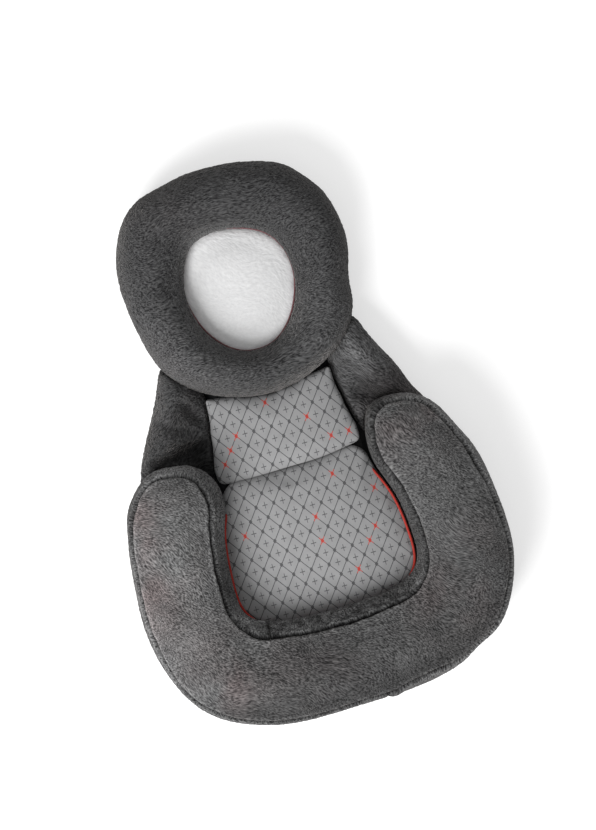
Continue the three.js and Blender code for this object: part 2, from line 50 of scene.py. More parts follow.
mm = 0.001
# Without a seed the vector noise differs from run to run
noise.seed_set(3)


def addObject(name, data):
    item = bpy.data.objects.new(name, data)
    scene.collection.objects.link(item)
    return item


# Camera: straight above, with the lounger turned in the picture
cameraSettings = {
    "over": (24.3 * mm, 20.2 * mm),
    "height": 2.4,
    "roll": math.radians(-15.6),
    "lens": 81.5,
}


def makeCamera(settings):
    data = bpy.data.cameras.new("camera")
    data.lens = settings["lens"]
    camera = addObject("camera", data)
    camera.location = (*settings["over"], settings["height"])
    camera.rotation_euler = (0, 0, settings["roll"])
    scene.camera = camera
    print("camera placed")


makeCamera(cameraSettings)


def setAll(item, values):
    for key, value in values.items():
        setattr(item, key, value)


# Shader helpers
def newMaterial(name):
    material = bpy.data.materials.new(name)
    material.use_nodes = True
    tree = material.node_tree
    return material, tree, tree.nodes["Principled BSDF"]


def addNode(tree, kind, **values):
    node = tree.nodes.new(kind)
    setAll(node, values)
    return node


def setInputs(node, **values):
    for key, value in values.items():
        node.inputs[key.replace("_", " ")].default_value = value
    return node


# Gives a socket a fixed value or another node's output
def feed(tree, socket, value):
    if isinstance(value, (int, float, tuple)):
        socket.default_value = value
    else:
        tree.links.new(value, socket)


def mathNode(tree, operation, *values):
    node = addNode(tree, "ShaderNodeMath", operation=operation)
    for socket, value in zip(node.inputs, values):
        feed(tree, socket, value)
    return node.outputs[0]


def mixColours(tree, factor, first, second, blend="MIX"):
    node = addNode(tree, "ShaderNodeMix", data_type="RGBA", blend_type=blend)
    feed(tree, node.inputs["Factor"], factor)
    feed(tree, node.inputs[6], first)
    feed(tree, node.inputs[7], second)
    return node.outputs[2]


def noiseNode(tree, vector, scale, detail):
    node = setInputs(addNode(tree, "ShaderNodeTexNoise"), Scale=scale, Detail=detail)
    tree.links.new(vector, node.inputs["Vector"])
    return node.outputs["Fac"]


def rangeNode(tree, value, **limits):
    node = setInputs(addNode(tree, "ShaderNodeMapRange"), **limits)
    tree.links.new(value, node.inputs["Value"])
    return node.outputs["Result"]


def objectPlace(tree):
    return addNode(tree, "ShaderNodeTexCoord").outputs["Object"]


def readAttribute(tree, name, output="Fac"):
    return addNode(tree, "ShaderNodeAttribute", attribute_name=name).outputs[output]


def addBump(tree, shader, height, strength, distance):
    bump = setInputs(addNode(tree, "ShaderNodeBump"), Strength=strength, Distance=distance)
    tree.links.new(height, bump.inputs["Height"])
    tree.links.new(bump.outputs["Normal"], shader.inputs["Normal"])


# The camera, mirrors and glass see a white background
def seenDirectly(tree):
    path = addNode(tree, "ShaderNodeLightPath").outputs
    mirrored = mathNode(tree, "MAXIMUM", path["Is Glossy Ray"], path["Is Transmission Ray"])
    return mathNode(tree, "MAXIMUM", path["Is Camera Ray"], mirrored)


# A group reads a vector and some sizes, and puts out values
def newGroup(name, sizes, outputs):
    group = bpy.data.node_groups.new(name, "ShaderNodeTree")
    group.interface.new_socket("Vector", in_out="INPUT", socket_type="NodeSocketVector")
    for socketName, size in sizes.items():
        socket = group.interface.new_socket(socketName, in_out="INPUT", socket_type="NodeSocketFloat")
        socket.default_value = size
    for socketName in outputs:
        group.interface.new_socket(socketName, in_out="OUTPUT", socket_type="NodeSocketFloat")
    return group, group.nodes.new("NodeGroupInput"), group.nodes.new("NodeGroupOutput")


def placeGroup(tree, group, vector, **values):
    node = setInputs(addNode(tree, "ShaderNodeGroup", node_tree=group), **values)
    tree.links.new(vector, node.inputs["Vector"])
    return node.outputs


# Light: a broad lamp from the lower left, a weak one across and a pale world
lightSettings = {
    "key": {"place": (-1.29, -1.12, 1.5), "size": 1.2, "power": 77},
    "fill": {"place": (1.3, 0.9, 2.0), "size": 1.8, "power": 4},
    "world": 0.55,
}


def makeLamp(name, settings):
    data = bpy.data.lights.new(name, "AREA")
    data.size = settings["size"]
    data.energy = settings["power"]
    lamp = addObject(name, data)
    lamp.location = settings["place"]
    lamp.rotation_euler = (-Vector(settings["place"])).to_track_quat("-Z", "Y").to_euler()


def makeWorld(strength):
    world = bpy.data.worlds.new("studio")
    scene.world = world
    world.use_nodes = True
    tree = world.node_tree
    background = setInputs(tree.nodes["Background"], Color=(1, 1, 1, 1))
    level = rangeNode(tree, seenDirectly(tree), To_Min=strength, To_Max=1)
    tree.links.new(level, background.inputs["Strength"])


makeLamp("keyLamp", lightSettings["key"])
makeLamp("fillLamp", lightSettings["fill"])
makeWorld(lightSettings["world"])
print("lights placed")

# Pile: streaks along the first coordinate, brushed marks, broad patches, and partings where its way turns
pileSettings = {
    "marks": (24 * mm, 6 * mm, 6 * mm),
    "patches": (70 * mm, 32 * mm, 32 * mm),
    "ways": (20 * mm, 8 * mm, 8 * mm),
    "partingSharpness": 32.0,
    "partingReach": 0.08,
}


def streakNoise(group, vector, size, detail):
    scaled = addNode(group, "ShaderNodeVectorMath", operation="DIVIDE")
    group.links.new(vector, scaled.inputs[0])
    feed(group, scaled.inputs[1], size)
    return mathNode(group, "SUBTRACT", noiseNode(group, scaled.outputs[0], scale=1.0, detail=detail), 0.5)


def makePileGroup(settings):
    sizes = {"Streak Length": 8 * mm, "Streak Width": 2.2 * mm}
    group, given, made = newGroup("pile", sizes, ("Tufts", "Marks", "Patches", "Partings"))
    calc = partial(mathNode, group)
    vector, length, width = (given.outputs[name] for name in ("Vector", *sizes))
    stretch = addNode(group, "ShaderNodeCombineXYZ")
    for socket, size in zip(stretch.inputs, (length, width, width)):
        group.links.new(size, socket)
    patches = streakNoise(group, vector, settings["patches"], detail=3.0)
    turning = calc("ABSOLUTE", streakNoise(group, vector, settings["ways"], detail=1.0))
    thin = calc("MULTIPLY_ADD", turning, -settings["partingSharpness"], 1.0)
    where = rangeNode(group, patches, From_Min=0.0, From_Max=settings["partingReach"])
    outputs = {
        "Tufts": streakNoise(group, vector, stretch.outputs[0], detail=1.3),
        "Marks": streakNoise(group, vector, settings["marks"], detail=2.0),
        "Patches": patches,
        "Partings": calc("MULTIPLY", calc("MAXIMUM", thin, 0.0), where),
    }
    for name, output in outputs.items():
        group.links.new(output, made.inputs[name])
    return group


# Weave: threads over and under each other
def makeWeaveGroup():
    group, given, made = newGroup("weave", {"Thread": 0.9 * mm}, ("Height", "Slub"))
    calc = partial(mathNode, group)
    vector = given.outputs["Vector"]
    parts = addNode(group, "ShaderNodeSeparateXYZ")
    group.links.new(vector, parts.inputs[0])
    waves = []
    for way in (parts.outputs["X"], calc("ADD", parts.outputs["Y"], parts.outputs["Z"])):
        turns = calc("DIVIDE", way, given.outputs["Thread"])
        waves.append(calc("SINE", calc("MULTIPLY", turns, math.pi)))
    height = calc("MULTIPLY_ADD", calc("MULTIPLY", *waves), 0.5, 0.5)
    group.links.new(height, made.inputs["Height"])
    group.links.new(noiseNode(group, vector, scale=90.0, detail=4.0), made.inputs["Slub"])
    return group


pileGroup = makePileGroup(pileSettings)
weaveGroup = makeWeaveGroup()

# Plushes: colours deep in the pile and at its tips, sizes of its streaks, and how strong each effect is
plushSettings = {
    "ringPlush": {
        "dark": (0.012, 0.012, 0.0125, 1), "light": (0.1, 0.1, 0.101, 1), "tint": 0.4, "sheen": 0.2,
        "length": 4.6 * mm, "width": 1.65 * mm, "bump": 1.1 * mm, "contrast": 2.3, "marks": 0.25,
        "brushed": 0.3, "parted": 0.05, "skew": 1.0,
    },
    "bolsterPlush": {
        "dark": (0.017, 0.017, 0.0173, 1), "light": (0.177, 0.177, 0.177, 1), "tint": 1.0, "sheen": 0.2,
        "length": 3.6 * mm, "width": 1.5 * mm, "bump": 1.0 * mm, "contrast": 2.0, "marks": 0.25,
        "brushed": 0.55, "parted": 0.12, "skew": 1.25,
    },
    # The bolster's walls: colours a little darker than the bolster's plush, painted shade
    "wallPlush": {
        "dark": (0.013, 0.013, 0.0133, 1), "light": (0.152, 0.152, 0.152, 1), "tint": 0.2, "sheen": 0.08,
        "length": 4.6 * mm, "width": 1.7 * mm, "bump": 1.2 * mm, "contrast": 2.2, "marks": 0.5,
        "brushed": 0.6, "parted": 0.3, "skew": 1.25,
    },
    "wingPlush": {
        "dark": (0.01, 0.01, 0.0103, 1), "light": (0.087, 0.087, 0.088, 1), "tint": 0.6, "sheen": 0.2,
        "length": 4.8 * mm, "width": 1.7 * mm, "bump": 1.2 * mm, "contrast": 2.2, "marks": 0.7,
        "brushed": 0.7, "parted": 0.2, "skew": 1.0,
    },
    "padPile": {
        "dark": (0.55, 0.55, 0.555, 1), "light": (0.67, 0.67, 0.67, 1), "tint": 0.0, "sheen": 0.05,
        "length": 4 * mm, "width": 1.8 * mm, "bump": 0.25 * mm, "contrast": 1.3, "marks": 0.3,
        "brushed": 0.3, "parted": 0, "skew": 1.0,
    },
}
plushFinish = {
    "roughness": 0.95,
    "specular": 0.1,
    "sheenRoughness": 0.3,
    "sheenTint": (0.95, 0.89, 0.85, 1),
    "warmTint": (1.1, 0.93, 0.92, 1),
    "warmScale": 16.0,
    "warmFrom": 0.35,
    "warmTo": 0.6,
    "fuzz": (0.3, 0.3, 0.3, 1),
    "seamDarkness": 0.85,
}


def makePlush(name, settings):
    material, tree, shader = newMaterial(name)
    calc = partial(mathNode, tree)
    finish = plushFinish
    setInputs(shader, Roughness=finish["roughness"], Specular_IOR_Level=finish["specular"],
              Sheen_Weight=settings["sheen"], Sheen_Roughness=finish["sheenRoughness"],
              Sheen_Tint=finish["sheenTint"])
    pile = placeGroup(tree, pileGroup, readAttribute(tree, "napPlace", "Vector"),
                      Streak_Length=settings["length"], Streak_Width=settings["width"])
    streaked = calc("MULTIPLY_ADD", pile["Tufts"], settings["contrast"], 0.5)
    marked = calc("MULTIPLY_ADD", pile["Marks"], settings["marks"], streaked)
    brushed = calc("MULTIPLY_ADD", pile["Patches"], settings["brushed"], marked)
    lifted = calc("MULTIPLY_ADD", pile["Partings"], -settings["parted"], brushed)
    share = calc("MAXIMUM", calc("MINIMUM", lifted, 1.0), 0.0)
    skewed = calc("POWER", share, settings["skew"])
    colour = mixColours(tree, skewed, settings["dark"], settings["light"])
    clouds = noiseNode(tree, objectPlace(tree), finish["warmScale"], detail=3.0)
    uneven = rangeNode(tree, clouds, From_Min=finish["warmFrom"], From_Max=finish["warmTo"],
                       To_Max=settings["tint"])
    warmth = calc("MULTIPLY", uneven, readAttribute(tree, "warm"))
    warmed = mixColours(tree, warmth, colour, finish["warmTint"], "MULTIPLY")
    # Painted sheen: the lip is mixed towards a lighter grey
    withLipSheen = mixColours(tree, readAttribute(tree, "fuzz"), warmed, finish["fuzz"])
    # Painted shade along seam grooves, band joints and wing creases
    clear = calc("MULTIPLY_ADD", readAttribute(tree, "groove"), -finish["seamDarkness"], 1.0)
    # Painted light and shade scale the colour
    kept = calc("MULTIPLY", clear, readAttribute(tree, "tone"))
    tree.links.new(mixColours(tree, 1, withLipSheen, kept, "MULTIPLY"), shader.inputs["Base Color"])
    addBump(tree, shader, share, strength=1.0, distance=settings["bump"])
    return material


plush = {name: makePlush(name, settings) for name, settings in plushSettings.items()}
print("plush materials made")

# Printed cloth: a diamond trellis, marked where it crosses, at times in red, and a cross in each diamond
printSettings = {
    "cell": (23 * mm, 31 * mm),
    "line": 0.055,
    "mark": 0.2,
    "cross": 0.07,
    "crossReach": 0.15,
    "redReach": 0.3,
    "plainShare": 0.9,
    "ground": (0.215, 0.215, 0.217, 1),
    "ink": (0.05, 0.05, 0.052, 1),
    "red": (0.34, 0.025, 0.015, 1),
    "thread": 0.8 * mm,
    "slubs": (0.3, 0.85),
    "bump": 0.25 * mm,
}


def makePrint(settings):
    material, tree, shader = newMaterial("printedCloth")
    calc = partial(mathNode, tree)
    setInputs(shader, Roughness=0.8, Sheen_Weight=0.1)
    place = objectPlace(tree)
    parts = addNode(tree, "ShaderNodeSeparateXYZ")
    tree.links.new(place, parts.inputs[0])
    across = calc("DIVIDE", parts.outputs["X"], settings["cell"][0])
    along = calc("DIVIDE", parts.outputs["Y"], settings["cell"][1])
    ways = [calc("ADD", across, along), calc("SUBTRACT", across, along)]
    crossing = [calc("ROUND", way) for way in ways]
    away = [calc("ABSOLUTE", calc("SUBTRACT", *pair)) for pair in zip(ways, crossing)]
    lines = calc("LESS_THAN", calc("MINIMUM", *away), settings["line"] / 2)
    reach = calc("MAXIMUM", *away)
    marks = calc("LESS_THAN", reach, settings["mark"] / 2)
    inset = [calc("SUBTRACT", 0.5, distance) for distance in away]
    beside = calc("ABSOLUTE", calc("SUBTRACT", *inset))
    arms = calc("LESS_THAN", beside, settings["cross"] / 2)
    short = calc("LESS_THAN", calc("MAXIMUM", *inset), settings["crossReach"])
    crosses = calc("MULTIPLY", arms, short)
    cell = addNode(tree, "ShaderNodeCombineXYZ")
    for socket, number in zip(cell.inputs, crossing):
        tree.links.new(number, socket)
    chance = addNode(tree, "ShaderNodeTexWhiteNoise")
    tree.links.new(cell.outputs[0], chance.inputs["Vector"])
    picked = calc("GREATER_THAN", chance.outputs["Value"], settings["plainShare"])
    redLines = calc("MULTIPLY", lines, calc("LESS_THAN", reach, settings["redReach"]))
    reddened = calc("MULTIPLY", picked, calc("MAXIMUM", marks, redLines))
    inked = calc("MAXIMUM", calc("MAXIMUM", lines, marks), crosses)
    weave = placeGroup(tree, weaveGroup, place, Thread=settings["thread"])
    slubs = calc("MULTIPLY_ADD", weave["Slub"], *settings["slubs"])
    ground = mixColours(tree, 1, settings["ground"], slubs, "MULTIPLY")
    withInk = mixColours(tree, inked, ground, settings["ink"])
    withRed = mixColours(tree, reddened, withInk, settings["red"])
    tree.links.new(withRed, shader.inputs["Base Color"])
    addBump(tree, shader, weave["Height"], strength=0.5, distance=settings["bump"])
    return material


printedCloth = makePrint(printSettings)

wovenSettings = {
    "baseCloth": {
        "colour": (0.035, 0.035, 0.037, 1), "thread": 1.1 * mm, "bump": 0.4 * mm, "roughness": 0.85,
    },
    "pipingCloth": {
        "colour": (0.37, 0.03, 0.02, 1), "thread": 0.7 * mm, "bump": 0.25 * mm, "roughness": 0.7,
    },
    # The head piping: darker and duller than the seat's piping, painted shade
    "mutedPipingCloth": {
        "colour": (0.17, 0.075, 0.08, 1), "thread": 0.7 * mm, "bump": 0.25 * mm, "roughness": 0.8,
    },
    "zipTape": {"colour": (0.03, 0.03, 0.032, 1), "thread": 0.6 * mm, "bump": 0.2 * mm, "roughness": 0.75},
    "fibre": {"colour": (0.78, 0.78, 0.76, 1), "thread": 2.6 * mm, "bump": 1.5 * mm, "roughness": 1.0},
    "sleeveCloth": {
        "colour": (0.04, 0.04, 0.042, 1), "thread": 1.3 * mm, "bump": 0.4 * mm, "roughness": 0.9,
    },
}
wovenFinish = {"specular": 0.2, "threads": (0.35, 0.65), "slubs": (0.5, 0.75), "strength": 0.8}


def makeWoven(name, settings):
    material, tree, shader = newMaterial(name)
    setInputs(shader, Roughness=settings["roughness"], Specular_IOR_Level=wovenFinish["specular"])
    weave = placeGroup(tree, weaveGroup, objectPlace(tree), Thread=settings["thread"])
    threads = mathNode(tree, "MULTIPLY_ADD", weave["Height"], *wovenFinish["threads"])
    slubs = mathNode(tree, "MULTIPLY_ADD", weave["Slub"], *wovenFinish["slubs"])
    worn = mathNode(tree, "MULTIPLY", threads, slubs)
    tree.links.new(mixColours(tree, 1, settings["colour"], worn, "MULTIPLY"), shader.inputs["Base Color"])
    addBump(tree, shader, weave["Height"], wovenFinish["strength"], settings["bump"])
    return material


woven = {name: makeWoven(name, settings) for name, settings in wovenSettings.items()}

# Zip metal: cast, a little uneven in colour and polish
zipSettings = {
    "dark": (0.36, 0.36, 0.37, 1),
    "light": (0.44, 0.44, 0.455, 1),
    "roughness": 0.26,
    "dullness": 0.14,
    "grain": 260.0,
    "bump": 0.05 * mm,
    "edge": 0.12 * mm,
}


def makeZipMetal(settings):
    material, tree, shader = newMaterial("zipMetal")
    setInputs(shader, Metallic=0.9)
    cast = noiseNode(tree, objectPlace(tree), settings["grain"], detail=2.0)
    tree.links.new(mixColours(tree, cast, settings["dark"], settings["light"]), shader.inputs["Base Color"])
    rough = mathNode(tree, "MULTIPLY_ADD", cast, settings["dullness"], settings["roughness"])
    tree.links.new(rough, shader.inputs["Roughness"])
    addBump(tree, shader, cast, strength=0.3, distance=settings["bump"])
    return material


zipMetal = makeZipMetal(zipSettings)
print("cloth and metal materials made")


# Mesh helpers
def addModifier(piece, kind, **values):
    setAll(piece.modifiers.new(kind, kind), values)


def applyModifiers(piece):
    bpy.context.view_layer.update()
    graph = bpy.context.evaluated_depsgraph_get()
    evaluated = piece.evaluated_get(graph)
    made = bpy.data.meshes.new_from_object(evaluated, preserve_all_data_layers=True, depsgraph=graph)
    piece.modifiers.clear()
    old = piece.data
    piece.data = made
    bpy.data.meshes.remove(old)


def readVectors(items, name):
    values = np.zeros(len(items) * 3, np.float32)
    items.foreach_get(name, values)
    return values.reshape(-1, 3)


def pointsOf(mesh):
    return readVectors(mesh.vertices, "co")


def normalsOf(mesh):
    return readVectors(mesh.vertex_normals, "vector")


def setPoints(mesh, points):
    mesh.vertices.foreach_set("co", points.astype(np.float32).ravel())
    mesh.update()


# Keeps a value or a vector for each vertex
def setValues(mesh, name, values):
    kind, field = ("FLOAT", "value") if values.ndim == 1 else ("FLOAT_VECTOR", "vector")
    attribute = mesh.attributes.new(name, kind, "POINT")
    attribute.data.foreach_set(field, values.astype(np.float32).ravel())


def mergedShape(nodeName):
    shape = bmesh.new()
    shape.from_mesh(nodes[nodeName].data)
    bmesh.ops.remove_doubles(shape, verts=shape.verts, dist=0.01 * mm)
    return shape


def newMesh(name, shape):
    mesh = bpy.data.meshes.new(name)
    shape.to_mesh(mesh)
    shape.free()
    return mesh


# A copy of a CAD node with its facets joined into quads, and creased at its sharp edges
def softCopy(name, nodeName, creaseAngle=180):
    shape = mergedShape(nodeName)
    bmesh.ops.join_triangles(shape, faces=shape.faces, angle_face_threshold=math.radians(40),
                             angle_shape_threshold=math.radians(50))
    creases = shape.edges.layers.float.new("crease_edge")
    for edge in shape.edges:
        if edge.calc_face_angle(0) > math.radians(creaseAngle):
            edge[creases] = 1
    return addObject(name, newMesh(name, shape))


def subdivide(piece, levels):
    addModifier(piece, "SUBSURF", levels=levels, render_levels=levels)
    applyModifiers(piece)


# A finished piece takes its material, and stands for its CAD node
def finishPiece(piece, nodeName, material):
    mesh = piece.data
    mesh.polygons.foreach_set("use_smooth", np.ones(len(mesh.polygons), bool))
    mesh.materials.clear()
    mesh.materials.append(material)
    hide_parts(nodeName)
    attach(piece, "lounger")


# Smooth line through the corners of a CAD edge that lies level at one height
def levelLoop(nodeName, height, steps=12, slack=0.2 * mm):
    shape = mergedShape(nodeName)
    level = [edge for edge in shape.edges if all(abs(v.co.z - height) < slack for v in edge.verts)]
    start = level[0].verts[0]
    line, last, here = [start.co.copy()], None, start
    while True:
        onward = [edge for edge in here.link_edges if edge in level and edge is not last]
        if not onward:
            break
        last = onward[0]
        here = last.other_vert(here)
        if here is start:
            break
        line.append(here.co.copy())
    shape.free()
    corners = np.array(line)
    before, after, beyond = (np.roll(corners, shift, axis=0) for shift in (1, -1, -2))
    shares = np.linspace(0, 1, steps, endpoint=False)[:, None, None]
    smooth = 0.5 * (2 * corners + (after - before) * shares
                    + (2 * before - 5 * corners + 4 * after - beyond) * shares**2
                    + (3 * corners - before - 3 * after + beyond) * shares**3)
    return smooth.transpose(1, 0, 2).reshape(-1, 3)


# How far a seam is felt: across the hollow, and along a slope beside it
seamReach = {"hollow": 15 * mm, "slope": 9 * mm}


# Distance from a level seam, measured down the slope: positive below it, outside the loop or in a hollow
def seamDistance(points, loop, hollow=False):
    finder = KDTree(len(loop))
    for index, place in enumerate(loop):
        finder.insert(Vector(place), index)
    finder.balance()
    tangents = np.roll(loop, -1, axis=0) - np.roll(loop, 1, axis=0)
    turn = np.sign(np.sum(loop[:, 0] * np.roll(loop[:, 1], -1) - np.roll(loop[:, 0], -1) * loop[:, 1]))
    found = [finder.find(Vector(point)) for point in points]
    nearest = np.array([index for _, index, _ in found])
    distance = np.array([length for _, _, length in found])
    tangent = tangents[nearest, :2]
    tangent /= np.linalg.norm(tangent, axis=1, keepdims=True)
    offset = points - loop[nearest]
    outside = turn * (offset[:, 0] * tangent[:, 1] - offset[:, 1] * tangent[:, 0])
    if hollow:
        outside = np.where(outside > seamReach["hollow"], -1, -outside)
    slope = (outside - offset[:, 2]) / math.sqrt(2)
    return np.sign(slope) * np.maximum(np.abs(slope), distance - seamReach["slope"])


def gaussian(distance, width):
    return np.exp(-(distance / width) ** 2)


def easedShare(values, start, end):
    share = np.clip((values - start) / (end - start), 0, 1)
    return share * share * (3 - 2 * share)


# 1 at a place in plan, given in mm, and less around it
def near(points, place, width):
    return gaussian(np.linalg.norm(points[:, :2] - np.array(place) * mm, axis=1), width)


def sumNear(points, places, width):
    return sum(value * near(points, place, width) for place, value in places.items())


def noiseAt(points, scale):
    return np.array([noise.noise(Vector(point) * scale) for point in points])


# Wings fall away towards the well and the lobes, with creases that run in from the lobe and under the ring
wingSettings = {
    "innerDrop": 0.36,
    "lobeDrop": 0.22,
    "inner": 84 * mm,
    "outer": 150 * mm,
    "outerBlend": (-120 * mm, 50 * mm),
    "innerBlend": (-20 * mm, 25 * mm),
    "lobeBlend": (-45 * mm, 26 * mm),
    "tip": (172, 10),
    "tipWidth": 28 * mm,
    "tipMove": (-5 * mm, -6 * mm),
    "creaseBlend": (20 * mm, 34 * mm),
    # Painted shade in the creases: the depth where it is full, and how dark it is
    "darkDepth": 15 * mm,
    "darkness": 0.7,
}
wingCreases = (
    {"from": (-158, 6), "to": (-98, 15), "depth": 13, "width": 8},
    {"from": (-112, 2), "to": (-98, -34), "depth": 15, "width": 15},
    {"from": (-134, 46), "to": (-106, 34), "depth": 4, "width": 7},
    {"from": (-104, 68), "to": (-90, 44), "depth": 6, "width": 8},
    {"from": (152, -16), "to": (104, 18), "depth": 9, "width": 9},
    {"from": (96, 66), "to": (112, 34), "depth": 5, "width": 8},
)


# How deep the creases are at points in plan
def creaseDepth(points, creases):
    depth = np.zeros(len(points))
    for crease in creases:
        start = np.array(crease["from"]) * mm
        run = np.array(crease["to"]) * mm - start
        offset = points[:, :2] - start
        share = np.clip(offset @ run / (run @ run), 0, 1)
        away = np.linalg.norm(offset - share[:, None] * run, axis=1)
        depth += crease["depth"] * mm * gaussian(away, crease["width"] * mm)
    return depth


def sculptWing(points):
    settings = wingSettings
    across = easedShare(-points[:, 1], *settings["outerBlend"])
    line = settings["inner"] + (settings["outer"] - settings["inner"]) * across
    start, end = settings["innerBlend"]
    inner = 1 - easedShare(np.abs(points[:, 0]), line + start, line + end)
    lobe = 1 - easedShare(points[:, 1], *settings["lobeBlend"])
    points[:, 2] *= 1 - settings["innerDrop"] * inner - settings["lobeDrop"] * lobe * (1 - inner)
    tip = near(points, settings["tip"], settings["tipWidth"])
    points[:, :2] += tip[:, None] * np.array(settings["tipMove"])
    high = easedShare(points[:, 2], *settings["creaseBlend"])
    points[:, 2] -= creaseDepth(points, wingCreases) * high
    return points


# The ring's inner wall leans over the pad, most of all at the head
hollowSettings = {
    "middle": (0, 188 * mm),
    "radius": 74 * mm,
    "wall": 30 * mm,
    "height": 52 * mm,
    "spread": 16 * mm,
    "lean": 3 * mm,
    "headLean": 6 * mm,
    "headAngle": math.radians(105),
    "headSpread": math.radians(60),
    "lipAngle": math.radians(108),
    "lipSpread": math.radians(42),
    "lipBlend": (3 * mm, 12 * mm),
    "lipHeight": 17 * mm,
}


# Offsets from the hollow's middle, and how strongly a direction from there is met
def aroundHollow(points, direction, spread):
    offset = points[:, :2] - np.array(hollowSettings["middle"])
    away = np.arctan2(offset[:, 1], offset[:, 0]) - direction
    away = (away + math.pi) % (2 * math.pi) - math.pi
    return offset, np.linalg.norm(offset, axis=1), gaussian(away, spread)


# Where the thin pile of the lip hangs over the pad, and takes a painted sheen
def lipShare(points):
    settings = hollowSettings
    _, reach, ahead = aroundHollow(points, settings["lipAngle"], settings["lipSpread"])
    start, end = settings["lipBlend"]
    inside = 1 - easedShare(reach, settings["radius"] + start, settings["radius"] + end)
    return inside * ahead * gaussian(points[:, 2] - settings["height"], settings["lipHeight"])


def sculptRing(points):
    settings = hollowSettings
    offset, reach, ahead = aroundHollow(points, settings["headAngle"], settings["headSpread"])
    inside = 1 - easedShare(reach, settings["radius"], settings["radius"] + settings["wall"])
    lean = settings["lean"] + settings["headLean"] * ahead
    lean *= inside * gaussian(points[:, 2] - settings["height"], settings["spread"])
    points[:, :2] -= offset / reach[:, None] * lean[:, None]
    return points


# Ends the well, at the middle of the bolster's foot
wellFoot = -262 * mm

# The bolster's inner wall leans over the seat's edge, at the foot most of all
wallSettings = {
    "height": 62 * mm,
    "spread": 24 * mm,
    "foot": 8.5 * mm,
    "footBlend": (-228 * mm, -178 * mm),
    "left": 4 * mm,
    "leftBlend": (-100 * mm, -60 * mm),
    "wellReach": 140 * mm,
    "wellBlend": (wellFoot, -245 * mm),
}


def sculptBolster(points):
    settings = wallSettings
    inWell = (np.abs(points[:, 0]) < settings["wellReach"]) & (points[:, 1] > wellFoot)
    foot = 1 - easedShare(points[:, 1], *settings["footBlend"])
    left = (1 - foot) * (1 - easedShare(points[:, 0], *settings["leftBlend"]))
    height = gaussian(points[:, 2] - settings["height"], settings["spread"]) * inWell
    across = easedShare(points[:, 1], *settings["wellBlend"])
    points[:, 1] += settings["foot"] * foot * height * across
    points[:, 0] += settings["left"] * left * height
    return points


sculptSteps = {
    "leftWing": sculptWing,
    "rightWing": sculptWing,
    "headRing": sculptRing,
    "bolster": sculptBolster,
}

# Cushions: each starts from its stuffing, which is a little smaller than the cover
wingCushion = {"crease": 55, "voxel": 5 * mm, "swell": 2.6 * mm,
               "lumps": 1.5 * mm, "pressure": 3.0, "cap": 4 * mm}
padCushion = {"crease": 40, "voxel": 5 * mm, "swell": 2 * mm,
              "lumps": 0.8 * mm, "pressure": 2.0, "cap": 3 * mm}
cushionSettings = {
    "bolster": {"stuffing": "bolster_fill", "crease": 180, "voxel": 6 * mm, "swell": 2.9 * mm,
                "lumps": 1.6 * mm, "pressure": 4.0, "cap": 5 * mm},
    "headRing": {"stuffing": "head_ring_fill", "crease": 180, "voxel": 5.5 * mm, "swell": 3.2 * mm,
                 "lumps": 2.2 * mm, "pressure": 3.0, "cap": 4 * mm},
    "leftWing": {"stuffing": "left_wing_fill", **wingCushion},
    "rightWing": {"stuffing": "right_wing_fill", **wingCushion},
    "seatPad": {"stuffing": "seat_wadding", **padCushion},
    "backPad": {"stuffing": "back_wadding", **padCushion},
    "headPad": {"stuffing": "head_pad_wadding", **padCushion},
}
fillSettings = {
    "lumpScale": 15,
    "flatBelow": 1.5 * mm,
    "seamPins": 4 * mm,
    "quality": 4,
    "steps": 20,
}

# Seams that lie level: the bolster's top against its band, and the ring's cover against the hollow's band
seamLoops = {
    "bolster": levelLoop("bolster_top_panel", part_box("bolster_left_band")[1].z + 0.3 * mm),
    "headRing": levelLoop("head_hollow_band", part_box("head_hollow_band")[1].z),
}
print("seams found:", {name: len(loop) for name, loop in seamLoops.items()})


def startCushion(name, settings):
    cushion = softCopy(name, settings["stuffing"], settings["crease"])
    addModifier(cushion, "SUBSURF", levels=2, render_levels=2)
    addModifier(cushion, "REMESH", mode="VOXEL", voxel_size=settings["voxel"])
    addModifier(cushion, "SMOOTH", factor=0.5, iterations=4)
    applyModifiers(cushion)
    mesh = cushion.data
    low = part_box(settings["stuffing"])[0].z
    start = pointsOf(mesh)
    lumps = noiseAt(start, fillSettings["lumpScale"]) * settings["lumps"]
    points = start + normalsOf(mesh) * (settings["swell"] + lumps)[:, None]
    points[:, 2] = np.maximum(points[:, 2], low)
    points[start[:, 2] < low + fillSettings["flatBelow"], 2] = low
    if name in sculptSteps:
        points = sculptSteps[name](points)
    setPoints(mesh, points)
    pinned = points[:, 2] < low + settings["voxel"]
    if name == "bolster":
        pinned |= np.abs(seamDistance(points, seamLoops[name])) < fillSettings["seamPins"]
    group = cushion.vertex_groups.new(name="pins")
    group.add([int(index) for index in np.nonzero(pinned)[0]], 1.0, "REPLACE")
    return cushion


def addCloth(cushion, settings):
    cloth = cushion.modifiers.new("Cloth", "CLOTH")
    cloth.settings.quality = fillSettings["quality"]
    cloth.settings.use_pressure = True
    cloth.settings.uniform_pressure_force = settings["pressure"]
    cloth.settings.effector_weights.gravity = 0
    cloth.settings.vertex_group_mass = "pins"
    cloth.point_cache.frame_end = fillSettings["steps"]


def capMoves(cushion, start, cap):
    moved = pointsOf(cushion.data) - start
    length = np.linalg.norm(moved, axis=1, keepdims=True)
    setPoints(cushion.data, start + moved * np.minimum(1, cap / np.maximum(length, 1e-9)))


cushions = {name: startCushion(name, settings) for name, settings in cushionSettings.items()}
print("cushions started:", {name: len(cushion.data.vertices) for name, cushion in cushions.items()})

starts = {name: pointsOf(cushion.data) for name, cushion in cushions.items()}
for name, cushion in cushions.items():
    addCloth(cushion, cushionSettings[name])
for step in range(1, fillSettings["steps"] + 1):
    scene.frame_set(step)
for name, cushion in cushions.items():
    applyModifiers(cushion)
    capMoves(cushion, starts[name], cushionSettings[name]["cap"])
scene.frame_set(1)
print("cushions filled")


